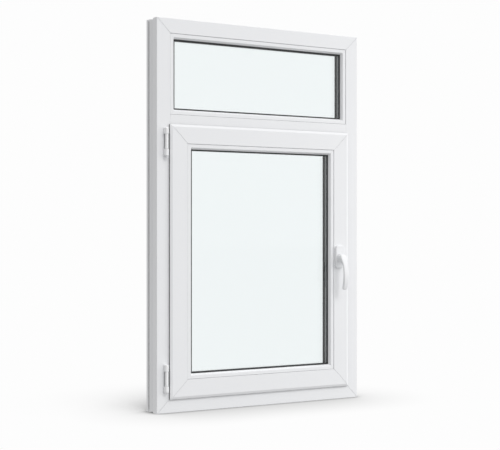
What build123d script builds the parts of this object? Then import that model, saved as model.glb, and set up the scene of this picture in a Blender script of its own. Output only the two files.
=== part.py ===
"""PVC window with a fixed top light over a side-hung sash, shut and locked.

The room side faces -Y, the weather side +Y, and the hinges are at -X. The origin is in the
middle of the sill's underside, on the strip along the room side that the frame stands on.
"""
import os

from build123d import *

# Overall size of the frame
WIDTH = 800.0
HEIGHT = 1300.0
DEPTH = 80.0
TOP_LIGHT_DROP = 317.0
TRANSOM_FACE = 36.0

# Frame section, measured in from its outer side and back from its room-side face
FRAME_FACE = 49.0
FRAME_CORNER = 2.0
NOSE_ROUND = 1.0
FRONT_STRIP = 29.0
ANCHOR_CHANNEL = 29.0
ANCHOR_CHANNEL_DEPTH = 4.0
CLIP_GROOVE = 5.0
CLIP_GROOVE_DEPTH = 10.0
LIP_HEIGHT = 20.0
LIP_NOSE = 4.0
LIP_NOSE_FALL = 2.0
WEATHER_EDGE = 5.0

# Hollow bars: outer walls, webs between chambers, and the trimmed weld at each mitre
WALL = 3.0
WEB = 1.6
FRONT_CHAMBER = 9.0
WELD_GROOVE_WIDTH = 2.0
WELD_GROOVE_DEPTH = 0.5

# Glazing: bead, gaskets and the sealed double unit
BEAD_WIDTH = 17.5
BEAD_FLAT = 12.5
BEAD_STEP = 1.5
BEAD_DEPTH = 11.0
BEAD_LAND = 1.5
BEAD_ROUND = 1.0
BEAD_JOINT = 0.8
BEAD_JOINT_DEPTH = 4.0
INNER_GASKET = 3.0
OUTER_GASKET = 3.5
GASKET_SHOW = 5.0
GASKET_TUCK = 7.0
GASKET_BEVEL = 1.5
PANE = 4.0
CAVITY = 16.0
PANE_CLEARANCE = 5.0
SPACER_HEIGHT = 6.5
SPACER_INSET = 5.5

# Sash section, measured in from its outer edge
SASH_OVERLAP = 4.0
SASH_FACE = 63.0
SASH_PROUD = 11.0
SASH_GAP = 5.0
SASH_EDGE = 2.0
SASH_BEVEL = 8.0
REBATE_GAP = 12.0
STOP_WIDTH = 12.0
SASH_DEPTH = 71.0
REBATE_SEAL = 4.0
REBATE_SEAL_WIDTH = 7.0
REBATE_SEAL_INSET = 0.5
OVERLAP_SEAL_WIDTH = 3.0
OVERLAP_SEAL_INSET = 0.5

# Drain slots in the weather side of the sill
DRAIN_LENGTH = 28.0
DRAIN_HEIGHT = 5.0
DRAIN_DEPTH = 8.0
DRAIN_RISE = 22.0
DRAIN_FROM_CORNER = 150.0

# Hinges on the left jamb
HINGE_LENGTH = 93.0
HINGE_CAP = 22.0
HINGE_CAP_RADIUS = 6.5
HINGE_AXIS_INSET = 31.0
HINGE_AXIS_PROUD = 11.0
HINGE_DOME = 5.0
HINGE_BACK_PLATE = 1.5
KNUCKLE_RADIUS = 5.5
KNUCKLE_SLIT = 0.5
PIN_RADIUS = 2.5
PIN_CLEARANCE = 0.05
PIN_END_COVER = 7.0
PIN_HEAD_RADIUS = 5.5
PIN_HEAD = 5.0
UPPER_HINGE_DROP = 11.5
LOWER_HINGE_RISE = 22.5

# Handle on the right stile: reaches are from the sash face, drops from the turning axis
HANDLE_BACKSET = 44.0
HANDLE_HEIGHT = 460.0
ROSE_WIDTH = 32.0
ROSE_HEIGHT = 78.5
ROSE_RISE = 42.0
ROSE_CORNER = 8.0
ROSE_THICKNESS = 10.0
ROSE_BEVEL = 1.5
NECK_RADIUS = 9.5
NECK_CLEARANCE = 0.05
NECK_END_GAP = 0.3
LEVER_GAP = 0.5
LEVER_BOSS_RADIUS = 13.0
LEVER_CROWN_REACH = 22.0
LEVER_KNEE_REACH = 35.0
LEVER_KNEE_RISE = 4.0
LEVER_ELBOW_REACH = 36.0
LEVER_ELBOW_DROP = 25.0
LEVER_SHOULDER_REACH = 44.0
LEVER_SHOULDER_DROP = 18.0
LEVER_BOW_REACH = 51.5
LEVER_BOW_DROP = 51.0
LEVER_TIP_REACH = 42.0
LEVER_LENGTH = 113.0
LEVER_THICKNESS = 8.0
LEVER_GRIP_WIDTH = 20.0
LEVER_TIP_WIDTH = 17.0
LEVER_TIP_ROUND = 6.0
LEVER_BEVEL = 2.2

# Places that follow from the sizes above
FRONT_Y = -FRONT_STRIP / 2
GLASS_STACK = BEAD_STEP + BEAD_DEPTH + INNER_GASKET + 2 * PANE + CAVITY + OUTER_GASKET
LIP_V = GLASS_STACK
SASH_LIP_V = GLASS_STACK - SASH_PROUD
SASH_BACK_V = SASH_DEPTH - SASH_PROUD
STOP_V = LIP_V - REBATE_SEAL
TRANSOM_TOP = HEIGHT - TOP_LIGHT_DROP
TRANSOM_BOTTOM = TRANSOM_TOP - TRANSOM_FACE
SASH_INSET = FRAME_FACE - SASH_OVERLAP
SASH_SIDE = SASH_OVERLAP + REBATE_GAP
SASH_TOP = TRANSOM_BOTTOM + SASH_OVERLAP


class Ring:
    """An upright rectangle whose four sides carry mitred bars."""

    def __init__(self, half_width, bottom, top):
        self.half_width = half_width
        self.bottom = bottom
        self.top = top

    def inset(self, amount):
        """Give the rectangle that lies the given amount inside this one."""
        return Ring(self.half_width - amount, self.bottom + amount, self.top - amount)

    def sides(self):
        """Give each side's name, section plane and length, going round the rectangle."""
        width, height = 2 * self.half_width, self.top - self.bottom
        left, right = -self.half_width, self.half_width
        return {
            "left": (Plane((left, FRONT_Y, self.bottom), x_dir=(1, 0, 0), z_dir=(0, 0, 1)), height),
            "top": (Plane((left, FRONT_Y, self.top), x_dir=(0, 0, -1), z_dir=(1, 0, 0)), width),
            "right": (Plane((right, FRONT_Y, self.top), x_dir=(-1, 0, 0), z_dir=(0, 0, -1)), height),
            "bottom": (Plane((right, FRONT_Y, self.bottom), x_dir=(0, 0, 1), z_dir=(-1, 0, 0)), width),
        }

    def slab(self, front, back):
        """Fill the rectangle between two depths behind the frame's room-side face."""
        centre = (0, FRONT_Y + (front + back) / 2, (self.bottom + self.top) / 2)
        return Pos(*centre) * Box(2 * self.half_width, back - front, self.top - self.bottom)

    def hoop(self, outer, inner, front, back):
        """Make a flat ring between two insets and two depths."""
        return self.inset(outer).slab(front, back) - self.inset(inner).slab(front, back)


def section(points, rounds, hollow=()):
    """Make a section face, round the corners that are given with a radius and cut out its chambers."""
    face = make_face(Polyline(*points, close=True))
    for corner, radius in rounds:
        face = fillet(face.vertices().sort_by_distance(Vector(*corner))[0], radius)
    for low, high in hollow:
        middle, size = (low + high) / 2, high - low
        face -= Pos(middle.X, middle.Y) * Rectangle(size.X, size.Y)
    return face


def chambers(edge, front, middle, back, inner, outer):
    """Corners of a bar's three chambers: behind its face, round its core and at its weather side.

    The bar goes back from front to back, with the web of its glazing rebate at middle. All
    chambers end a wall short of inner, and they start a wall in from edge or, at the back, from outer.
    """
    core = front + WALL + FRONT_CHAMBER + WEB
    return [
        (Vector(edge + WALL, front + WALL), Vector(inner - WALL, core - WEB)),
        (Vector(edge + WALL, core), Vector(inner - WALL, middle - WEB)),
        (Vector(outer + WALL, middle), Vector(inner - WALL - WEATHER_EDGE, back - WALL)),
    ]


def mitred_bar(profile, length):
    """Run a section along a side and cut both ends at 45 degrees."""
    box = profile.bounding_box()
    low, high = box.min.X, box.max.X
    outline = Polyline((low, low), (high, high), (high, length - high), (low, length - low), close=True)
    mitres = extrude(Plane.XZ * make_face(outline), amount=DEPTH * 2, both=True)
    return extrude(profile, amount=length) & mitres


def mitred_bars(profile, ring):
    """Make the four bars of a ring, by side."""
    return {side: plane.location * mitred_bar(profile, length)
            for side, (plane, length) in ring.sides().items()}


def weld_grooves(ring, face_width, face_v):
    """Shallow grooves where the welds across the corners of a ring's face were trimmed."""
    middle = (ring.bottom + ring.top) / 2
    size = (2 * face_width * 2 ** 0.5, 2 * WELD_GROOVE_DEPTH, WELD_GROOVE_WIDTH)
    grooves = []
    for x in (-ring.half_width, ring.half_width):
        for z in (ring.bottom, ring.top):
            turn = -45 if x * (z - middle) > 0 else 45
            grooves.append(Pos(x, FRONT_Y + face_v, z) * Rot(0, turn, 0) * Box(*size))
    return grooves


def welded(bars, grooves):
    """Cut the trimmed welds into the bars of a ring."""
    return {side: bar - grooves for side, bar in bars.items()}


def frame_section():
    """Section of the frame: sloped outer channel and clip groove, face, glazing rebate and weather lip."""
    channel_end = FRONT_STRIP + ANCHOR_CHANNEL
    groove_end = channel_end + CLIP_GROOVE
    lip_top = FRAME_FACE + LIP_HEIGHT
    points = [
        (0, 0), (0, FRONT_STRIP), (ANCHOR_CHANNEL_DEPTH, FRONT_STRIP),
        (0, channel_end), (CLIP_GROOVE_DEPTH, channel_end),
        (CLIP_GROOVE_DEPTH, groove_end), (0, groove_end), (0, DEPTH),
        (FRAME_FACE - WEATHER_EDGE, DEPTH), (lip_top - LIP_NOSE_FALL, LIP_V + LIP_NOSE),
        (lip_top, LIP_V), (FRAME_FACE, LIP_V), (FRAME_FACE, 0),
    ]
    rounds = [((0, 0), FRAME_CORNER), ((0, DEPTH), FRAME_CORNER), ((FRAME_FACE, 0), NOSE_ROUND)]
    hollow = chambers(ANCHOR_CHANNEL_DEPTH, 0, LIP_V, DEPTH, FRAME_FACE, CLIP_GROOVE_DEPTH)
    return section(points, rounds, hollow)


def transom_section():
    """Section of the transom, from its middle: two rebates and two weather lips."""
    half = TRANSOM_FACE / 2
    lip_top = half + LIP_HEIGHT
    right = [
        (half, 0), (half, LIP_V), (lip_top, LIP_V), (lip_top - LIP_NOSE_FALL, LIP_V + LIP_NOSE),
        (half - WEATHER_EDGE, DEPTH),
    ]
    left = [(-u, v) for u, v in reversed(right)]
    hollow = chambers(-half, 0, LIP_V, DEPTH, half, WEATHER_EDGE - half)
    return section(right + left, [((half, 0), NOSE_ROUND), ((-half, 0), NOSE_ROUND)], hollow)


def sash_section():
    """Section of the sash: bevelled overlap, stop face, glazing rebate and weather lip."""
    stop_edge = SASH_SIDE + STOP_WIDTH
    lip_top = SASH_FACE + LIP_HEIGHT
    fall = (LIP_HEIGHT - LIP_NOSE_FALL + WEATHER_EDGE) / (DEPTH - LIP_V - LIP_NOSE)
    weather_edge = lip_top - LIP_NOSE_FALL - fall * (SASH_BACK_V - SASH_LIP_V - LIP_NOSE)
    points = [
        (0, -SASH_GAP), (0, -SASH_GAP - SASH_EDGE), (SASH_BEVEL, -SASH_PROUD),
        (SASH_FACE, -SASH_PROUD), (SASH_FACE, SASH_LIP_V), (lip_top, SASH_LIP_V),
        (lip_top - LIP_NOSE_FALL, SASH_LIP_V + LIP_NOSE), (weather_edge, SASH_BACK_V),
        (stop_edge, SASH_BACK_V), (stop_edge, STOP_V), (SASH_SIDE, STOP_V), (SASH_SIDE, -SASH_GAP),
    ]
    rounds = [((SASH_FACE, -SASH_PROUD), NOSE_ROUND), ((SASH_BEVEL, -SASH_PROUD), FRAME_CORNER)]
    hollow = chambers(SASH_SIDE, -SASH_PROUD, SASH_LIP_V, SASH_BACK_V, SASH_FACE, stop_edge)
    return section(points, rounds, hollow)


def bead_section(face_v):
    """Section of a glazing bead: a step behind the given face, with an open joint along its outer edge."""
    front = face_v + BEAD_STEP
    back = front + BEAD_DEPTH
    points = [
        (BEAD_JOINT, front), (BEAD_FLAT, front), (BEAD_WIDTH, back - BEAD_LAND), (BEAD_WIDTH, back),
        (0, back), (0, front + BEAD_JOINT_DEPTH), (BEAD_JOINT, front + BEAD_JOINT_DEPTH),
    ]
    return section(points, [((BEAD_JOINT, front), BEAD_ROUND), ((BEAD_FLAT, front), FRAME_CORNER)])


def glazing(name, floor, face_v):
    """Glaze a rebate: beads, gaskets, two panes and their spacer, from the room outwards."""
    bead_back = face_v + BEAD_STEP + BEAD_DEPTH
    room_glass = bead_back + INNER_GASKET
    cavity_front = room_glass + PANE
    cavity_back = cavity_front + CAVITY
    glass_back = cavity_back + PANE
    unit = floor.inset(PANE_CLEARANCE)
    gasket_start, gasket_end = BEAD_WIDTH - GASKET_TUCK, BEAD_WIDTH + GASKET_SHOW
    inner_gasket = floor.hoop(gasket_start, gasket_end, bead_back, room_glass)
    front_face = inner_gasket.faces().sort_by(Axis.Y)[0]
    bevelled = front_face.inner_wires()[0].edges()
    parts = {
        f"{name}_inner_gasket": chamfer(bevelled, GASKET_BEVEL),
        f"{name}_inner_pane": unit.slab(room_glass, cavity_front),
        f"{name}_spacer": unit.hoop(SPACER_INSET, SPACER_INSET + SPACER_HEIGHT, cavity_front, cavity_back),
        f"{name}_outer_pane": unit.slab(cavity_back, glass_back),
        f"{name}_outer_gasket": floor.hoop(
            LIP_HEIGHT - GASKET_TUCK, LIP_HEIGHT, glass_back, glass_back + OUTER_GASKET),
    }
    for side, bead in mitred_bars(bead_section(face_v), floor).items():
        parts[f"{name}_bead_{side}"] = bead
    return parts


def drain_slots():
    """Slots with round ends through the weather wall of the sill."""
    plane = Plane((0, FRONT_Y + DEPTH, DRAIN_RISE), x_dir=(-1, 0, 0), z_dir=(0, 1, 0))
    reach = WIDTH / 2 - DRAIN_FROM_CORNER
    slots = [plane.location * Pos(x, 0, 0) * SlotOverall(DRAIN_LENGTH, DRAIN_HEIGHT) for x in (-reach, reach)]
    return [extrude(slot, amount=-DRAIN_DEPTH) for slot in slots]


def frame_parts():
    """The welded outer frame and the transom that divides it."""
    ring = Ring(WIDTH / 2, 0, HEIGHT)
    grooves = weld_grooves(ring, FRAME_FACE, 0) + weld_grooves(ring, FRAME_FACE - WEATHER_EDGE, DEPTH)
    bars = welded(mitred_bars(frame_section(), ring), grooves)
    span = WIDTH - 2 * FRAME_FACE
    plane = Plane((span / 2, FRONT_Y, (TRANSOM_TOP + TRANSOM_BOTTOM) / 2), x_dir=(0, 0, 1), z_dir=(-1, 0, 0))
    transom = plane.location * extrude(transom_section(), amount=span)
    return {
        "frame_left_jamb": bars["left"],
        "frame_right_jamb": bars["right"],
        "frame_head": bars["top"],
        "frame_sill": bars["bottom"] - drain_slots(),
        "transom": transom - bars["left"] - bars["right"],
    }


def sash_parts(ring):
    """The sash bars, its overlap seal and the seal on the frame's weather lip."""
    bars = welded(mitred_bars(sash_section(), ring), weld_grooves(ring, SASH_FACE, -SASH_PROUD))
    opening = ring.inset(SASH_OVERLAP)
    seal_end = LIP_HEIGHT - REBATE_SEAL_INSET
    return {
        "sash_left_stile": bars["left"],
        "sash_right_stile": bars["right"],
        "sash_top_rail": bars["top"],
        "sash_bottom_rail": bars["bottom"],
        "overlap_seal": ring.hoop(
            OVERLAP_SEAL_INSET, OVERLAP_SEAL_INSET + OVERLAP_SEAL_WIDTH, -SASH_GAP, 0),
        "rebate_seal": opening.hoop(seal_end - REBATE_SEAL_WIDTH, seal_end, STOP_V, LIP_V),
    }


def post(radius, low, high):
    """A round post between two heights."""
    return Pos(0, 0, (low + high) / 2) * Cylinder(radius, high - low)


def hinge(name, bottom, upper):
    """A hinge: a frame bracket with two caps, a pin, and the sash's knuckle on its leaf.

    The cap that points away from the middle of the sash is domed, and the upper hinge's pin is
    pushed in from below and shows its head.
    """
    place = Pos(-WIDTH / 2 + HINGE_AXIS_INSET, FRONT_Y - HINGE_AXIS_PROUD, bottom)
    block = Pos(0, HINGE_AXIS_PROUD / 2) * Rectangle(2 * HINGE_CAP_RADIUS, HINGE_AXIS_PROUD)
    outline = Circle(HINGE_CAP_RADIUS) + block
    plate_y = HINGE_AXIS_PROUD - HINGE_BACK_PLATE / 2
    plate = Pos(0, plate_y) * Rectangle(2 * HINGE_CAP_RADIUS, HINGE_BACK_PLATE)
    low, high = HINGE_CAP, HINGE_LENGTH - HINGE_CAP
    bracket = extrude(outline, amount=low) + Pos(0, 0, high) * extrude(outline, amount=HINGE_CAP)
    bracket += Pos(0, 0, low) * extrude(plate, amount=high - low)
    end_face = bracket.faces().sort_by(Axis.Z)[-1 if upper else 0]
    bracket = fillet(end_face.edges().filter_by(GeomType.CIRCLE), HINGE_DOME)
    pin_low, pin_high = 0 if upper else PIN_END_COVER, HINGE_LENGTH - PIN_END_COVER
    bore = post(PIN_RADIUS + PIN_CLEARANCE, pin_low, pin_high)
    pin = post(PIN_RADIUS, pin_low, pin_high)
    if upper:
        pin += post(PIN_HEAD_RADIUS, -PIN_HEAD, 0)
    knuckle_low, knuckle_high = low + KNUCKLE_SLIT, high - KNUCKLE_SLIT
    knuckle = post(KNUCKLE_RADIUS, knuckle_low, knuckle_high)
    leaf_reach = SASH_INSET - HINGE_AXIS_INSET
    leaf_y = HINGE_AXIS_PROUD - SASH_GAP - SASH_EDGE / 2
    leaf_face = Pos(leaf_reach / 2, leaf_y) * Rectangle(leaf_reach, SASH_EDGE)
    leaf = Pos(0, 0, knuckle_low) * extrude(leaf_face, amount=knuckle_high - knuckle_low)
    return {
        f"{name}_bracket": place * (bracket - bore),
        f"{name}_knuckle": place * (knuckle - bore),
        f"{name}_leaf": place * (leaf - knuckle),
        f"{name}_pin": place * pin,
    }


def handle_plane():
    """Plane at the handle's axis on the sash face: X across, Y up and Z into the room."""
    x = WIDTH / 2 - SASH_INSET - HANDLE_BACKSET
    return Plane((x, FRONT_Y - SASH_PROUD, SASH_INSET + HANDLE_HEIGHT), x_dir=(1, 0, 0), z_dir=(0, -1, 0))


def handle_rose():
    """Plate on the sash with a bevelled rim and the bore that the lever's neck turns in."""
    outline = Pos(0, ROSE_RISE - ROSE_HEIGHT / 2) * RectangleRounded(ROSE_WIDTH, ROSE_HEIGHT, ROSE_CORNER)
    plate = extrude(outline, amount=ROSE_THICKNESS)
    plate = chamfer(plate.faces().sort_by(Axis.Z)[-1].edges(), ROSE_BEVEL)
    bore = Cylinder(NECK_RADIUS + NECK_CLEARANCE, 4 * ROSE_THICKNESS)
    return handle_plane().location * (plate - bore)


def handle_lever():
    """Bowed lever that hangs from a round boss on the neck, with bevelled edges."""
    back = ROSE_THICKNESS + LEVER_GAP
    boss, grip, tip = LEVER_BOSS_RADIUS, LEVER_GRIP_WIDTH / 2, LEVER_TIP_WIDTH / 2
    crown = (LEVER_CROWN_REACH, boss + LEVER_BEVEL)
    knee = (LEVER_KNEE_REACH, LEVER_KNEE_RISE)
    shoulder = (LEVER_SHOULDER_REACH, -LEVER_SHOULDER_DROP)
    bow = (LEVER_BOW_REACH, -LEVER_BOW_DROP)
    end = (LEVER_TIP_REACH, -LEVER_LENGTH)
    elbow = (LEVER_ELBOW_REACH, -LEVER_ELBOW_DROP)
    outer = [crown, knee, shoulder, bow, end]
    inner = [(reach - LEVER_THICKNESS, height) for reach, height in (end, bow)] + [elbow, (back, -boss)]
    rest = Polyline(inner[-1], (back, crown[1]), crown)
    tip_slope = (bow[0] - end[0], bow[1] - end[1])
    underside = Spline(*inner, tangents=[tip_slope, (-1, 0)])
    side = make_face([*rest.edges(), Spline(*outer), Line(outer[-1], inner[0]), underside])
    side_plane = Plane((-boss, 0, 0), x_dir=(0, 0, 1), z_dir=(-1, 0, 0))
    flank = [(boss, 0), (grip, -LEVER_ELBOW_DROP), (grip, -LEVER_BOW_DROP), (tip, -LEVER_LENGTH)]
    mirrored = [(-x, y) for x, y in flank]
    straight_down = [(0, -1), (0, -1)]
    front = make_face([
        Spline(*flank, tangents=straight_down), Line(flank[-1], mirrored[-1]),
        Spline(*mirrored, tangents=straight_down), ThreePointArc(mirrored[0], (0, boss), flank[0]),
    ])
    lever = extrude(side_plane * side, amount=-2 * boss) & extrude(front, amount=2 * LEVER_BOW_REACH)
    lever = fillet(lever.edges().filter_by(Axis.Z).sort_by(Axis.Y)[:2], LEVER_TIP_ROUND)
    resting = lever.faces().filter_by(Axis.Z).sort_by(Axis.Z)[0]
    rims = lever.edges() - resting.edges() - lever.edges().filter_by(Axis.Z)
    lever = chamfer(rims, LEVER_BEVEL)
    neck_length = back - NECK_END_GAP
    neck = Pos(0, 0, NECK_END_GAP + neck_length / 2) * Cylinder(NECK_RADIUS, neck_length)
    return handle_plane().location * (lever + neck)


def window():
    """All pieces of the window by name."""
    parts = frame_parts()
    frame_floor = Ring(WIDTH / 2 - FRAME_FACE, TRANSOM_TOP, HEIGHT - FRAME_FACE)
    parts.update(glazing("top_light", frame_floor, 0))
    sash = Ring(WIDTH / 2 - SASH_INSET, SASH_INSET, SASH_TOP)
    parts.update(sash_parts(sash))
    parts.update(glazing("sash", sash.inset(SASH_FACE), -SASH_PROUD))
    parts.update(hinge("upper_hinge", SASH_TOP - UPPER_HINGE_DROP - HINGE_LENGTH, upper=True))
    parts.update(hinge("lower_hinge", SASH_INSET + LOWER_HINGE_RISE, upper=False))
    parts["handle_rose"] = handle_rose()
    parts["handle_lever"] = handle_lever()
    return parts


os.makedirs("parts", exist_ok=True)
for node, solid in window().items():
    export_step(solid, f"parts/{node}.step")
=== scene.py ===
"""Dresses the white PVC window: rounded hardware, seals of the glass units, finishes and studio."""
import logging
import math
from dataclasses import dataclass
from enum import Enum, IntEnum
from typing import Iterable, Optional, Union

import bmesh
import bpy
from mathutils import Matrix, Vector

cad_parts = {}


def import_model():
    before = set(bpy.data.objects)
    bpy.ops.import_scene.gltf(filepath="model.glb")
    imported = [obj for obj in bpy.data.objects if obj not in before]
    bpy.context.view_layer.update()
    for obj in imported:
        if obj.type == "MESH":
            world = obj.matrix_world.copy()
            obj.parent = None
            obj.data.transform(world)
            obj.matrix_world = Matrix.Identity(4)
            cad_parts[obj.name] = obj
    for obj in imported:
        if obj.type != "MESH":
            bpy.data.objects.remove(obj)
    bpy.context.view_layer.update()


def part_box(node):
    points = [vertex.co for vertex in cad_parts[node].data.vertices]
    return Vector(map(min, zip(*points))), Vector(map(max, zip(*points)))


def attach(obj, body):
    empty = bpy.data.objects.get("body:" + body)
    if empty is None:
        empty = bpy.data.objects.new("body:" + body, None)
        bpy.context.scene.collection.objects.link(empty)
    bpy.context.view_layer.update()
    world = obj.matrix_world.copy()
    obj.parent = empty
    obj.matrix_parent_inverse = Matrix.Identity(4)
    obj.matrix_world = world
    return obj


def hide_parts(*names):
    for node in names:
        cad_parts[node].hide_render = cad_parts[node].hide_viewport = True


LOG = logging.getLogger("window")
NOISE_MIDDLE = 0.5
HALF_METRE = 0.5
QUARTER_TURN = math.radians(90.0)
Colour = tuple[float, float, float]
Place = tuple[float, float, float]


class Body(Enum):
    """The bodies that pieces ride on."""

    WINDOW = "window"
    HANDLE = "handle"


class Run(Enum):
    """The way that a piece was drawn, as the stretch of its texture along X, Y and Z."""

    ACROSS = (0.02, 1.0, 1.0)
    UPRIGHT = (1.0, 1.0, 0.02)
    MOULDED = (1.0, 1.0, 1.0)


class Finish(Enum):
    """The finishes, by the names of their materials."""

    PVC_UPRIGHT = "pvc_upright"
    PVC_ACROSS = "pvc_across"
    BEAD_UPRIGHT = "bead_upright"
    BEAD_ACROSS = "bead_across"
    HINGE_COVER = "hinge_white_plastic"
    LACQUER = "handle_lacquer"
    RUBBER = "seal_rubber"
    BUTYL = "butyl_seal"
    GLASS = "float_glass"
    SPACER = "spacer_aluminium"
    ZINC = "zinc_coated_steel"
    # Steel painted dark as the shade in the hinge's gap beside the sash.
    SHADED_LEAF_STEEL = "leaf_steel_painted_shade"

    @property
    def material(self) -> bpy.types.Material:
        """Give the finished material."""
        return bpy.data.materials[self.value]


class ColourMix(IntEnum):
    """The numbers of a Mix node's sockets for colours."""

    FACTOR = 0
    LOW = 6
    HIGH = 7
    RESULT = 2


class Samples(IntEnum):
    """How many rays a node sends out from a spot."""

    EDGE = 4
    GROOVE = 8
    SHADOW = 24


class Wire:
    """A shader value, whose operators add Math nodes."""

    def __init__(self, shader: "Shader", socket: Optional[bpy.types.NodeSocket]) -> None:
        """Keep the shader and the output socket that carries the value."""
        self.shader = shader
        self.socket = socket

    def _math(self, operation: str, first: "Value", second: "Value") -> "Wire":
        """Add a Math node.

        Args:
            operation: the Math node's operation.
            first: its first value or wire.
            second: its second value or wire.

        Returns:
            The node's result.
        """
        return self.shader.node("ShaderNodeMath", {"operation": operation}, {0: first, 1: second})

    def __add__(self, other: "Value") -> "Wire":
        """Give the sum."""
        return self._math("ADD", self, other)

    __radd__ = __add__

    def __sub__(self, other: "Value") -> "Wire":
        """Give the difference."""
        return self._math("SUBTRACT", self, other)

    def __rsub__(self, other: "Value") -> "Wire":
        """Give the difference from a number."""
        return self._math("SUBTRACT", other, self)

    def __mul__(self, other: "Value") -> "Wire":
        """Give the product."""
        return self._math("MULTIPLY", self, other)

    __rmul__ = __mul__

    def __mod__(self, other: "Value") -> "Wire":
        """Give what is left over, always from 0 up."""
        return self._math("FLOORED_MODULO", self, other)

    def __rmod__(self, other: "Value") -> "Wire":
        """Give what is left over of a number."""
        return self._math("FLOORED_MODULO", other, self)

    def __pow__(self, other: "Value") -> "Wire":
        """Give the power."""
        return self._math("POWER", self, other)

    def __rpow__(self, other: "Value") -> "Wire":
        """Give the power of a number."""
        return self._math("POWER", other, self)

    def __lt__(self, other: "Value") -> "Wire":
        """Give 1 where this is the smaller, or else 0."""
        return self._math("LESS_THAN", self, other)

    def __gt__(self, other: "Value") -> "Wire":
        """Give 1 where this is the larger, or else 0."""
        return self._math("GREATER_THAN", self, other)

    def at_most(self, limit: float) -> "Wire":
        """Give the value, held at a limit."""
        return self._math("MINIMUM", self, limit)

    def around(self, middle: float, spread: float) -> "Wire":
        """Give a value that varies with this noise by a spread around its middle."""
        return (self - NOISE_MIDDLE) * spread + middle

    def mixed(self, other: "Wire", share: float) -> "Wire":
        """Give the given share of this and the rest of the other."""
        return self * share + other * (1.0 - share)


Value = Union[float, Wire]


class Shader:
    """The node tree of a material or of the world, with one method that adds nodes."""

    def __init__(self, owner: Union[bpy.types.Material, bpy.types.World]) -> None:
        """Start an empty node tree for the given owner."""
        owner.use_nodes = True
        self.owner = owner
        self.tree = owner.node_tree
        self.tree.nodes.clear()

    @classmethod
    def of(cls, finish: Finish) -> "Shader":
        """Start the material of a finish."""
        return cls(bpy.data.materials.new(finish.value))

    def node(self, kind: str, settings: dict, sockets: dict, output: Union[int, str] = 0) -> Wire:
        """Add a node.

        Args:
            kind: the node's type.
            settings: attributes of the node, set first.
            sockets: values or wires by the name or number of the input socket.
            output: the name or number of the output to give back.

        Returns:
            The chosen output.
        """
        made = self.tree.nodes.new(kind)
        for key, value in settings.items():
            setattr(made, key, value)
        for key, value in sockets.items():
            if isinstance(value, Wire):
                self.tree.links.new(value.socket, made.inputs[key])
            else:
                made.inputs[key].default_value = value
        return Wire(self, made.outputs[output] if len(made.outputs) else None)

    def place(self, axis: str) -> Wire:
        """Give one of the piece's own coordinates, X, Y or Z, in metres."""
        spot = self.node("ShaderNodeTexCoord", {}, {}, "Object")
        return self.node("ShaderNodeSeparateXYZ", {}, {"Vector": spot}, axis)

    def grain(self, run: Run, scale: float, detail: float = 3.0) -> Wire:
        """Add noise on the piece's own coordinates.

        Args:
            run: which way streaks run.
            scale: cells in a metre.
            detail: octaves of the noise.

        Returns:
            The noise, from 0 to 1.
        """
        spot = self.node("ShaderNodeTexCoord", {}, {}, "Object")
        stretched = self.node("ShaderNodeMapping", {}, {"Vector": spot, "Scale": run.value})
        sockets = {"Vector": stretched, "Scale": scale, "Detail": detail}
        return self.node("ShaderNodeTexNoise", {}, sockets, "Fac")

    def blend(self, factor: Wire, low: Union[Colour, Wire], high: Union[Colour, Wire]) -> Wire:
        """Mix two colours by a factor.

        Args:
            factor: 0 for the low colour to 1 for the high one.
            low: a colour, or a wire that carries one.
            high: the other colour.

        Returns:
            The mixed colour.
        """
        low, high = (tone if isinstance(tone, Wire) else (*tone, 1.0) for tone in (low, high))
        sockets = {ColourMix.FACTOR: factor, ColourMix.LOW: low, ColourMix.HIGH: high}
        return self.node("ShaderNodeMix", {"data_type": "RGBA"}, sockets, ColourMix.RESULT)

    def opening(self, reach: float, own: bool, lean: Optional[Place] = None) -> Wire:
        """Tell how open a spot is.

        Args:
            reach: how far away surfaces count, in metres.
            own: whether only the piece's own surfaces count.
            lean: the way to look, or None to look along the normal.

        Returns:
            1 in the open, down to 0 where it is closed in.
        """
        sockets = {"Distance": reach}
        if lean:
            sockets["Normal"] = self.node("ShaderNodeCombineXYZ", {}, dict(enumerate(lean)))
        settings = {"samples": Samples.GROOVE if own else Samples.SHADOW, "only_local": own}
        return self.node("ShaderNodeAmbientOcclusion", settings, sockets, "AO")

    def bump(self, height: Wire, strength: float, distance: float, edge: float = 0.0) -> Wire:
        """Turn a height into a normal.

        Args:
            height: the height, from 0 to 1.
            strength: how much of it shows.
            distance: the height's size in metres.
            edge: radius that sharp edges are shaded with, in metres.

        Returns:
            The normal.
        """
        sockets = {"Height": height, "Strength": strength, "Distance": distance}
        if edge:
            sockets["Normal"] = self.node("ShaderNodeBevel", {"samples": Samples.EDGE}, {"Radius": edge})
        return self.node("ShaderNodeBump", {}, sockets)

    def finish(self, shader: Wire) -> Union[bpy.types.Material, bpy.types.World]:
        """Connect a shader to the output.

        Args:
            shader: the shader that the surface or the sky takes.

        Returns:
            The finished owner.
        """
        is_world = isinstance(self.owner, bpy.types.World)
        kind = "ShaderNodeOutputWorld" if is_world else "ShaderNodeOutputMaterial"
        self.node(kind, {}, {"Surface": shader})
        return self.owner


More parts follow.
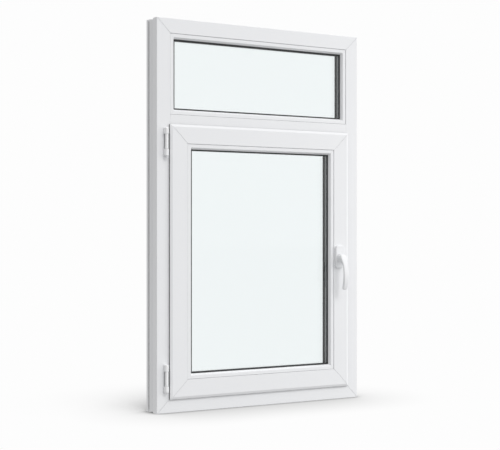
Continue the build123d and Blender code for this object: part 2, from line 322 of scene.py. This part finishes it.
@dataclass(frozen=True)
class WhitePlastic:
    """White plastic or lacquer: streaks from the die, a faint mottle, a skin of tiny ripples and painted
    shade in the piece's own grooves and inside corners.

    Fields:
        finish: which finish this makes.
        run: which way the streaks run.
        pale: the lighter colour of the mottle.
        deep: the darker one.
        mottle_share: how much of the colour follows the mottle, and the rest the streaks.
        painted_shade_reach: width of the piece's own grooves that get painted shade, in metres.
        painted_shade_colour: the colour of the painted shade deep in a groove.
        painted_shade_start: how closed in a spot is before the painted shade starts.
        painted_shade_depth: how fast the painted shade darkens from there.
        roughness: the middle of the gloss.
        gloss_spread: how far the gloss varies.
        coat: weight of a clear gloss on top.
        coat_roughness: how rough that gloss is.
        ior: index of refraction.
        ripple: depth of the ripples in metres.
        ripple_share: how much of the skin follows the ripples, and the rest the streaks.
        ripple_strength: how much of the skin shows.
        edge: radius of the edges' shading in metres.
        mottle_scale, streak_scale, ripple_scale: cells in a metre.
    """

    finish: Finish
    run: Run
    pale: Colour = (0.835, 0.842, 0.856)
    deep: Colour = (0.805, 0.812, 0.828)
    mottle_share: float = 0.6
    painted_shade_reach: float = 0.009
    painted_shade_colour: Colour = (0.08, 0.085, 0.09)
    painted_shade_start: float = 0.2
    painted_shade_depth: float = 2.4
    roughness: float = 0.36
    gloss_spread: float = 0.12
    coat: float = 0.0
    coat_roughness: float = 0.12
    ior: float = 1.5
    ripple: float = 0.00006
    ripple_share: float = 0.5
    ripple_strength: float = 0.35
    edge: float = 0.0005
    mottle_scale: float = 9.0
    streak_scale: float = 420.0
    ripple_scale: float = 900.0

    def build(self) -> bpy.types.Material:
        """Build the material.

        Returns:
            The finished material.
        """
        shader = Shader.of(self.finish)
        mottle = shader.grain(Run.MOULDED, self.mottle_scale)
        streaks = shader.grain(self.run, self.streak_scale)
        ripples = shader.grain(self.run, self.ripple_scale)
        tone = shader.blend(mottle.mixed(streaks, self.mottle_share), self.deep, self.pale)
        # Painted shade: the piece's own grooves and inside corners are darkened towards the painted
        # shade colour, by how closed in they are.
        closed = 1.0 - shader.opening(self.painted_shade_reach, own=True)
        shade = (closed - self.painted_shade_start) * self.painted_shade_depth
        skin = ripples.mixed(streaks, self.ripple_share)
        plastic = shader.node("ShaderNodeBsdfPrincipled", {}, {
            "Base Color": shader.blend(shade, tone, self.painted_shade_colour),
            "Roughness": streaks.around(self.roughness, self.gloss_spread),
            "Coat Weight": self.coat,
            "Coat Roughness": self.coat_roughness,
            "IOR": self.ior,
            "Normal": shader.bump(skin, self.ripple_strength, self.ripple, self.edge),
        })
        return shader.finish(plastic)


@dataclass(frozen=True)
class Rubber:
    """Black sealing rubber or butyl: matt, fine grain and a faint bloom.

    Fields:
        finish: which finish this makes.
        deep: the darker colour.
        bloom: the lighter colour of the bloom.
        bloom_share: how much of the colour follows the bloom, and the rest the grain.
        roughness: the middle of the gloss.
        gloss_spread: how far the gloss varies.
        pit: depth of the grain in metres.
        pit_strength: how much of it shows.
        grain_scale, bloom_scale: cells in a metre.
    """

    finish: Finish
    deep: Colour = (0.010, 0.010, 0.011)
    bloom: Colour = (0.032, 0.033, 0.035)
    bloom_share: float = 0.7
    roughness: float = 0.62
    gloss_spread: float = 0.2
    pit: float = 0.0001
    pit_strength: float = 0.4
    grain_scale: float = 650.0
    bloom_scale: float = 35.0

    def build(self) -> bpy.types.Material:
        """Build the material.

        Returns:
            The finished material.
        """
        shader = Shader.of(self.finish)
        grain = shader.grain(Run.MOULDED, self.grain_scale)
        bloom = shader.grain(Run.MOULDED, self.bloom_scale)
        rubber = shader.node("ShaderNodeBsdfPrincipled", {}, {
            "Base Color": shader.blend(bloom.mixed(grain, self.bloom_share), self.deep, self.bloom),
            "Roughness": grain.around(self.roughness, self.gloss_spread),
            "Normal": shader.bump(grain, self.pit_strength, self.pit),
        })
        return shader.finish(rubber)


@dataclass(frozen=True)
class SealedGlass:
    """Clear float glass: lets light straight through with a faint tint, and mirrors more at a slant.

    Fields:
        finish: which finish this makes.
        tint: what one face of a pane lets through.
        ior: index of refraction.
        mirror: how much of the mirror image shows.
        roughness: the middle of the gloss.
        gloss_spread: how far the gloss varies.
        film_scale: cells in a metre of the faint film on the glass.
    """

    finish: Finish = Finish.GLASS
    tint: Colour = (0.972, 0.985, 0.986)
    ior: float = 1.52
    mirror: float = 1.5
    roughness: float = 0.02
    gloss_spread: float = 0.02
    film_scale: float = 3.0

    def build(self) -> bpy.types.Material:
        """Build the material.

        Returns:
            The finished material.
        """
        shader = Shader.of(self.finish)
        slant = shader.node("ShaderNodeFresnel", {}, {"IOR": self.ior})
        behind = shader.node("ShaderNodeNewGeometry", {}, {}, "Backfacing")
        film = shader.grain(Run.MOULDED, self.film_scale)
        share = slant * self.mirror * (1.0 - behind)
        clear = shader.node("ShaderNodeBsdfTransparent", {}, {"Color": (*self.tint, 1.0)})
        roughness = film.around(self.roughness, self.gloss_spread)
        gloss = shader.node("ShaderNodeBsdfGlossy", {}, {"Roughness": roughness})
        return shader.finish(shader.node("ShaderNodeMixShader", {}, {0: share, 1: clear, 2: gloss}))


@dataclass(frozen=True)
class DrawnMetal:
    """Bare or zinc-coated metal with fine drawn lines.

    Fields:
        finish: which finish this makes.
        run: which way the lines run.
        dull: the darker colour.
        bright: the lighter colour.
        line_share: how much of the colour follows the lines, and the rest the stains.
        metallic: 1 for bare metal, less under a dull coat.
        roughness: the middle of the gloss.
        gloss_spread: how far the gloss varies.
        line_depth: depth of the lines in metres.
        line_strength: how much of it shows.
        line_scale, stain_scale: cells in a metre.
    """

    finish: Finish
    run: Run = Run.UPRIGHT
    dull: Colour = (0.46, 0.47, 0.48)
    bright: Colour = (0.78, 0.79, 0.80)
    line_share: float = 0.6
    metallic: float = 1.0
    roughness: float = 0.34
    gloss_spread: float = 0.16
    line_depth: float = 0.00004
    line_strength: float = 0.3
    line_scale: float = 700.0
    stain_scale: float = 14.0

    def build(self) -> bpy.types.Material:
        """Build the material.

        Returns:
            The finished material.
        """
        shader = Shader.of(self.finish)
        lines = shader.grain(self.run, self.line_scale)
        stain = shader.grain(Run.MOULDED, self.stain_scale)
        metal = shader.node("ShaderNodeBsdfPrincipled", {}, {
            "Base Color": shader.blend(lines.mixed(stain, self.line_share), self.dull, self.bright),
            "Metallic": self.metallic,
            "Roughness": lines.around(self.roughness, self.gloss_spread),
            "Normal": shader.bump(lines, self.line_strength, self.line_depth),
        })
        return shader.finish(metal)


@dataclass(frozen=True)
class SpacerMetal:
    """Dull grey spacer: aluminium with rows of breathing slots to the drying agent inside.

    Fields:
        finish: which finish this makes.
        dull: the darker colour of the metal.
        bright: the lighter colour of the metal.
        roughness: the middle of the gloss.
        gloss_spread: how far the gloss varies.
        shade: how much darker and duller the slots are.
        pitch: from slot to slot, in metres.
        slot: length of a slot.
        row_pitch: from row to row.
        row: width of a row.
        slot_depth: depth of a slot.
        slot_strength: how much of that depth shows.
        line_scale: cells in a metre of the metal's grain.
    """

    finish: Finish = Finish.SPACER
    dull: Colour = (0.17, 0.175, 0.175)
    bright: Colour = (0.26, 0.265, 0.265)
    roughness: float = 0.44
    gloss_spread: float = 0.16
    shade: float = 0.75
    pitch: float = 0.0040
    slot: float = 0.0022
    row_pitch: float = 0.0055
    row: float = 0.0006
    slot_depth: float = 0.0003
    slot_strength: float = 0.6
    line_scale: float = 500.0

    def build(self) -> bpy.types.Material:
        """Build the material.

        Returns:
            The finished material.
        """
        shader = Shader.of(self.finish)
        along = shader.place("X") + shader.place("Z")
        slots = (along % self.pitch < self.slot) * (shader.place("Y") % self.row_pitch < self.row)
        lines = shader.grain(Run.MOULDED, self.line_scale)
        metal = shader.node("ShaderNodeBsdfPrincipled", {}, {
            "Base Color": shader.blend(lines * (1.0 - slots * self.shade), self.dull, self.bright),
            "Metallic": 1.0 - slots * self.shade,
            "Roughness": lines.around(self.roughness, self.gloss_spread),
            "Normal": shader.bump(1.0 - slots, self.slot_strength, self.slot_depth),
        })
        return shader.finish(metal)


def dress(finish: Finish, nodes: Iterable[str]) -> None:
    """Put a finish on all slots of CAD nodes.

    Args:
        finish: the finish for the slots.
        nodes: the CAD nodes' names.
    """
    for node in nodes:
        for slot in bpy.data.objects[node].material_slots:
            slot.material = finish.material
        LOG.info("%s: %s", node, finish.value)


def add_piece(
        name: str, shape: bmesh.types.BMesh, finish: Finish, body: Body) -> bpy.types.Object:
    """Make a finished piece of a shape and let it ride on a body.

    Args:
        name: the piece's name.
        shape: its shape, in place, which is used up.
        finish: its finish.
        body: the body that it rides on.

    Returns:
        The new object.
    """
    mesh = bpy.data.meshes.new(name)
    shape.to_mesh(mesh)
    shape.free()
    mesh.materials.append(finish.material)
    piece = bpy.data.objects.new(name, mesh)
    bpy.context.scene.collection.objects.link(piece)
    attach(piece, body.value)
    LOG.info("%s: %d faces, %s", name, len(mesh.polygons), finish.value)
    return piece


@dataclass(frozen=True)
class SoftEdges:
    """Rounds off the edges of a CAD node, on a copy that stands for it.

    Fields:
        width: how far the rounding reaches from an edge, in metres.
        crisp: whether flat faces stay flat in the shading, or else look full and round.
        segments: facets across the rounding.
        sharp: edges that turn by more than this many degrees are rounded.
        flat: neighbours that turn by less than this many degrees become one face.
        weld: points nearer than this become one.
    """

    width: float
    crisp: bool = True
    segments: int = 3
    sharp: float = 24.0
    flat: float = 0.2
    weld: float = 0.000005

    def apply(self, node: str, finish: Finish, slot: str, body: Body) -> None:
        """Make the rounded copy.

        Args:
            node: the CAD node.
            finish: the copy's finish.
            slot: the record's material slot; not used.
            body: the body that it rides on.
        """
        shape = bmesh.new()
        shape.from_mesh(bpy.data.objects[node].data)
        bmesh.ops.remove_doubles(shape, verts=shape.verts, dist=self.weld)
        bmesh.ops.dissolve_limit(
            shape, angle_limit=math.radians(self.flat), verts=shape.verts, edges=shape.edges)
        sharp = [edge for edge in shape.edges
                 if edge.is_manifold and edge.calc_face_angle() > math.radians(self.sharp)]
        bmesh.ops.bevel(
            shape, geom=sharp, offset=self.width, offset_type="OFFSET", affect="EDGES",
            segments=self.segments, profile=0.5, material=-1, clamp_overlap=True)
        for face in shape.faces:
            face.smooth = True
        piece = add_piece(f"{node}_soft", shape, finish, body)
        if self.crisp:
            piece.modifiers.new("even_shading", "WEIGHTED_NORMAL").keep_sharp = True
        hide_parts(node)


@dataclass
class OuterFrame:
    """The welded frame and its transom.

    Fields:
        upright: the bars that stand.
        across: the bars that lie.
    """

    upright: tuple[str, ...] = ("frame_left_jamb", "frame_right_jamb")
    across: tuple[str, ...] = ("frame_head", "frame_sill", "transom")

    def build(self) -> None:
        """Give the bars their drawn finish."""
        dress(Finish.PVC_UPRIGHT, self.upright)
        dress(Finish.PVC_ACROSS, self.across)


@dataclass
class Glazing:
    """A sealed double unit with its beads and gaskets.

    Fields:
        prefix: how the names of its nodes start.
        spacer_height: how far the spacer reaches in from its outer edge, in metres.
        seal_width: how much of the butyl seal shows along each edge of the spacer.
        seal_thickness: how far it stands off the spacer.
    """

    prefix: str
    spacer_height: float = 0.0065
    seal_width: float = 0.0014
    seal_thickness: float = 0.0003

    def build(self) -> None:
        """Finish the beads, gaskets, panes and spacer, and add the butyl seals."""
        pieces = {
            Finish.BEAD_UPRIGHT: ("bead_left", "bead_right"),
            Finish.BEAD_ACROSS: ("bead_top", "bead_bottom"),
            Finish.RUBBER: ("inner_gasket", "outer_gasket"),
            Finish.GLASS: ("inner_pane", "outer_pane"),
            Finish.SPACER: ("spacer",),
        }
        for finish, names in pieces.items():
            dress(finish, [f"{self.prefix}_{name}" for name in names])
        low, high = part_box(f"{self.prefix}_spacer")
        self._seal("room_seal", low.y)
        self._seal("weather_seal", high.y - self.seal_width)

    def _seal(self, name: str, start: float) -> None:
        """Lay a butyl seal round the inside of the spacer, along one of its edges.

        Args:
            name: how the seal's name ends.
            start: where the seal starts, in metres along Y.
        """
        low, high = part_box(f"{self.prefix}_spacer")
        size = high - low - Vector((2 * self.spacer_height, 0, 2 * self.spacer_height))
        middle = (low + high) / 2
        shape = bmesh.new()
        bmesh.ops.create_grid(shape, x_segments=1, y_segments=1, size=HALF_METRE)
        turn = Matrix.Rotation(QUARTER_TURN, 4, "X")
        bmesh.ops.transform(shape, matrix=turn, verts=shape.verts)
        bmesh.ops.scale(shape, vec=(size.x, 1.0, size.z), verts=shape.verts)
        bmesh.ops.translate(shape, vec=(middle.x, start, middle.z), verts=shape.verts)
        bmesh.ops.delete(shape, geom=shape.faces, context="FACES_ONLY")
        hoop = bmesh.ops.extrude_edge_only(shape, edges=shape.edges)["geom"]
        far = [part for part in hoop if isinstance(part, bmesh.types.BMVert)]
        bmesh.ops.translate(shape, vec=(0, self.seal_width, 0), verts=far)
        bmesh.ops.recalc_face_normals(shape, faces=shape.faces)
        bmesh.ops.solidify(shape, geom=shape.faces, thickness=self.seal_thickness)
        bmesh.ops.recalc_face_normals(shape, faces=shape.faces)
        add_piece(f"{self.prefix}_{name}", shape, Finish.BUTYL, Body.WINDOW)


@dataclass
class Sash:
    """The sash bars and the seals round them.

    Fields:
        upright: the bars that stand.
        across: the bars that lie.
        seals: the rubber seals between sash and frame.
    """

    upright: tuple[str, ...] = ("sash_left_stile", "sash_right_stile")
    across: tuple[str, ...] = ("sash_top_rail", "sash_bottom_rail")
    seals: tuple[str, ...] = ("overlap_seal", "rebate_seal")

    def build(self) -> None:
        """Finish the bars and the seals."""
        dress(Finish.PVC_UPRIGHT, self.upright)
        dress(Finish.PVC_ACROSS, self.across)
        dress(Finish.RUBBER, self.seals)


@dataclass
class Hinge:
    """A hinge with its covers, leaf, pin and the strip behind its knuckle.

    Fields:
        prefix: how the names of its nodes start.
        rim: how far the edges of its covers are rounded, in metres.
        back_plate: thickness of the bracket's own back plate.
        strip: thickness of the zinc-coated strip on it, whose grey is partly painted shade for the slot
            behind the knuckle.
        strip_rim: how far the strip's edges are rounded.
        strip_segments: facets across that rounding.
    """

    prefix: str
    rim: float = 0.0006
    back_plate: float = 0.0015
    strip: float = 0.0005
    strip_rim: float = 0.0005 / 3
    strip_segments: int = 2

    def build(self) -> None:
        """Round and finish the covers, finish the leaf and pin, and add the strip."""
        covers = SoftEdges(self.rim)
        for piece in ("bracket", "knuckle"):
            covers.apply(f"{self.prefix}_{piece}", Finish.HINGE_COVER, "hinge_cover", Body.WINDOW)
        # The leaf's steel is painted dark as the shade in the gap between hinge and sash.
        dress(Finish.SHADED_LEAF_STEEL, [f"{self.prefix}_leaf"])
        dress(Finish.ZINC, [f"{self.prefix}_pin"])
        self._strip()

    def _strip(self) -> None:
        """Lay a zinc-coated strip on the bracket's back plate, as long as the knuckle; its grey is
        partly painted shade for the slot behind the knuckle.
        """
        low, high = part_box(f"{self.prefix}_bracket")
        knuckle_low, knuckle_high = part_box(f"{self.prefix}_knuckle")
        back = high.y - self.back_plate
        size = (high.x - low.x - 2 * self.rim, self.strip, knuckle_high.z - knuckle_low.z)
        middle = ((low.x + high.x) / 2, back - self.strip / 2, (knuckle_low.z + knuckle_high.z) / 2)
        shape = bmesh.new()
        bmesh.ops.create_cube(shape, size=1.0)
        bmesh.ops.scale(shape, vec=size, verts=shape.verts)
        bmesh.ops.translate(shape, vec=middle, verts=shape.verts)
        bmesh.ops.bevel(
            shape, geom=shape.edges, offset=self.strip_rim, offset_type="OFFSET", affect="EDGES",
            segments=self.strip_segments, profile=0.5, material=-1)
        # Partly painted shade: the strip's grey stands in for the shade in the slot behind the knuckle.
        add_piece(f"{self.prefix}_strip", shape, Finish.ZINC, Body.WINDOW)


@dataclass
class Handle:
    """The rose and the lever.

    Fields:
        rose_edge: how far the rose's edges are rounded, in metres.
        lever_edge: how far the lever's edges are rounded.
    """

    rose_edge: float = 0.0006
    lever_edge: float = 0.0010

    def build(self) -> None:
        """Round both and finish them in white lacquer."""
        rose = SoftEdges(self.rose_edge)
        rose.apply("handle_rose", Finish.LACQUER, "handle", Body.WINDOW)
        lever = SoftEdges(self.lever_edge, crisp=False)
        lever.apply("handle_lever", Finish.LACQUER, "handle", Body.HANDLE)


@dataclass(frozen=True)
class FloorShade:
    """One of the soft shadows of the window painted on the floor's glow.

    Fields:
        reach: how far from the window it shows, in metres.
        strength: how dark it is.
        lean: the way from the floor to look for the window, or None to look straight up.
        steepness: how fast it fades, from 1 up.
    """

    reach: float
    strength: float
    lean: Optional[Place] = None
    steepness: float = 1.0


@dataclass
class Studio:
    """Plain pale glowing floor with painted soft shadows, soft light and the camera.

    Fields:
        camera_place: where the camera stands, in metres.
        yaw: how far it looks to the right of +Y, in degrees.
        lens: focal length in millimetres.
        shift_up: shift of the picture, in picture widths.
        white: brightness of the backdrop and of the open floor as they are seen.
        sky: brightness of the light from all round.
        sky_slope: how much brighter it is towards +X.
        bounce: brightness of the floor as a source of light.
        mirrored: brightness of the floor in mirror images.
        shades: the soft shadows painted on the floor.
        deepest: the most that one of them takes away.
        wash: power of the weak light from the right, in watts.
        wash_place: where it stands.
        wash_size: its width and height.
        key: strength of the key light.
        key_from: direction towards the key light.
        key_angle: how wide the key light is, in degrees.
        floor_reach: from the middle of the floor to its corners, in metres.
        floor_corners: three, because the shadows would show an edge between two faces.
        clear_faces: how many clear faces light may pass through.
    """

    camera_place: Place = (-2.0425, -3.4504, 0.5921)
    yaw: float = 30.14
    lens: float = 83.62
    shift_up: float = 0.0163
    white: float = 0.983
    sky: float = 0.97
    sky_slope: float = 0.42
    bounce: float = 0.45
    mirrored: float = 1.1
    shades: tuple[FloorShade, ...] = (
        FloorShade(0.30, 0.62),
        FloorShade(0.80, 4.0, lean=(2.0, -4.0, 1.0), steepness=3.0),
        FloorShade(0.03, 0.65),
    )
    deepest: float = 0.48
    wash: float = 3.4
    wash_place: Place = (1.35, -0.9, 0.75)
    wash_size: tuple[float, float] = (0.5, 1.5)
    key: float = 0.80
    key_from: Place = (0.14, -0.74, 0.66)
    key_angle: float = 16.0
    floor_reach: float = 80.0
    floor_corners: int = 3
    clear_faces: int = 32

    def build(self) -> None:
        """Set up floor, light and camera."""
        self._floor()
        self._sky()
        self._key_light()
        self._wash_light()
        self._camera()
        bpy.context.scene.view_settings.view_transform = "Standard"
        bpy.context.scene.cycles.transparent_max_bounces = self.clear_faces

    def _floor(self) -> None:
        """Lay a wide plain floor under the window that glows, with soft shadows painted into its glow
        where the window stands.
        """
        mesh = bpy.data.meshes.new("floor")
        shape = bmesh.new()
        bmesh.ops.create_circle(
            shape, cap_ends=True, segments=self.floor_corners, radius=self.floor_reach)
        shape.to_mesh(mesh)
        shape.free()
        floor = bpy.data.objects.new("floor", mesh)
        bpy.context.scene.collection.objects.link(floor)
        shader = Shader(bpy.data.materials.new("studio_floor"))
        seen = shader.node("ShaderNodeLightPath", {}, {}, "Is Camera Ray")
        mirrored = shader.node("ShaderNodeLightPath", {}, {}, "Is Glossy Ray")
        look = seen * self.white
        # Painted shadow: the floor's seen glow is darkened where the window closes it in.
        for shade in self.shades:
            closed = 1.0 - shader.opening(shade.reach, own=False, lean=shade.lean)
            taken = closed ** shade.steepness * shade.strength
            look = look * (1.0 - taken.at_most(self.deepest))
        glow = look + mirrored * self.mirrored + (1.0 - seen - mirrored) * self.bounce
        mesh.materials.append(shader.finish(shader.node("ShaderNodeEmission", {}, {"Color": glow})))

    def _sky(self) -> None:
        """Light the scene from all round, more from the right, with a white backdrop."""
        world = bpy.data.worlds.new("studio")
        bpy.context.scene.world = world
        shader = Shader(world)
        towards = shader.node("ShaderNodeTexCoord", {}, {}, "Generated")
        right = shader.node("ShaderNodeSeparateXYZ", {}, {"Vector": towards}, "X")
        seen = shader.node("ShaderNodeLightPath", {}, {}, "Is Camera Ray")
        glow = seen * self.white + (1.0 - seen) * (right * self.sky_slope + self.sky)
        shader.finish(shader.node("ShaderNodeBackground", {}, {"Color": glow}))

    def _key_light(self) -> None:
        """Hang a soft light in front, above and a little to the right."""
        lamp = bpy.data.lights.new("key", "SUN")
        lamp.energy = self.key
        lamp.angle = math.radians(self.key_angle)
        key = bpy.data.objects.new("key", lamp)
        key.rotation_mode = "QUATERNION"
        key.rotation_quaternion = Vector(self.key_from).to_track_quat("Z", "Y")
        bpy.context.scene.collection.objects.link(key)

    def _wash_light(self) -> None:
        """Stand a weak upright light at the right, which makes the room side paler towards it."""
        lamp = bpy.data.lights.new("wash", "AREA")
        lamp.shape = "RECTANGLE"
        lamp.size, lamp.size_y = self.wash_size
        lamp.energy = self.wash
        wash = bpy.data.objects.new("wash", lamp)
        wash.location = self.wash_place
        wash.rotation_mode = "QUATERNION"
        level = Vector((*self.wash_place[:2], 0.0))
        wash.rotation_quaternion = level.to_track_quat("Z", "Y")
        wash.visible_glossy = False
        bpy.context.scene.collection.objects.link(wash)

    def _camera(self) -> None:
        """Stand the camera at the photograph's viewpoint, level."""
        lens = bpy.data.cameras.new("camera")
        lens.lens = self.lens
        lens.shift_y = self.shift_up
        camera = bpy.data.objects.new("camera", lens)
        camera.location = self.camera_place
        camera.rotation_euler = (QUARTER_TURN, 0.0, math.radians(-self.yaw))
        bpy.context.scene.collection.objects.link(camera)
        bpy.context.scene.camera = camera


def make_finishes() -> None:
    """Build every material once."""
    finishes = (
        WhitePlastic(Finish.PVC_UPRIGHT, Run.UPRIGHT),
        WhitePlastic(Finish.PVC_ACROSS, Run.ACROSS),
        WhitePlastic(Finish.BEAD_UPRIGHT, Run.UPRIGHT, roughness=0.33),
        WhitePlastic(Finish.BEAD_ACROSS, Run.ACROSS, roughness=0.33),
        # The hinge covers get a weaker painted shade in their grooves.
        WhitePlastic(
            Finish.HINGE_COVER, Run.MOULDED, pale=(0.905, 0.910, 0.918), deep=(0.880, 0.886, 0.896),
            painted_shade_depth=0.5, roughness=0.30, gloss_spread=0.05, coat=0.2, ripple=0.00002),
        WhitePlastic(
            Finish.LACQUER, Run.MOULDED, roughness=0.26, gloss_spread=0.04, coat=0.4, ripple=0.00001),
        Rubber(Finish.RUBBER),
        Rubber(Finish.BUTYL, roughness=0.5),
        SealedGlass(),
        SpacerMetal(),
        DrawnMetal(Finish.ZINC, metallic=0.3, roughness=0.5),
        # The leaf's steel is painted dark as the shade in the gap between hinge and sash.
        DrawnMetal(
            Finish.SHADED_LEAF_STEEL, dull=(0.11, 0.112, 0.116), bright=(0.18, 0.183, 0.188), roughness=0.42),
    )
    for finish in finishes:
        LOG.info("finish %s", finish.build().name)


def main() -> None:
    """Build and dress the window from the outside in, then set up the studio."""
    logging.basicConfig(level=logging.INFO)
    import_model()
    make_finishes()
    assemblies = (OuterFrame(), Glazing("top_light"), Sash(), Glazing("sash"),
                  Hinge("upper_hinge"), Hinge("lower_hinge"), Handle())
    for assembly in assemblies:
        assembly.build()
    Studio().build()


if __name__ == "__main__":
    main()
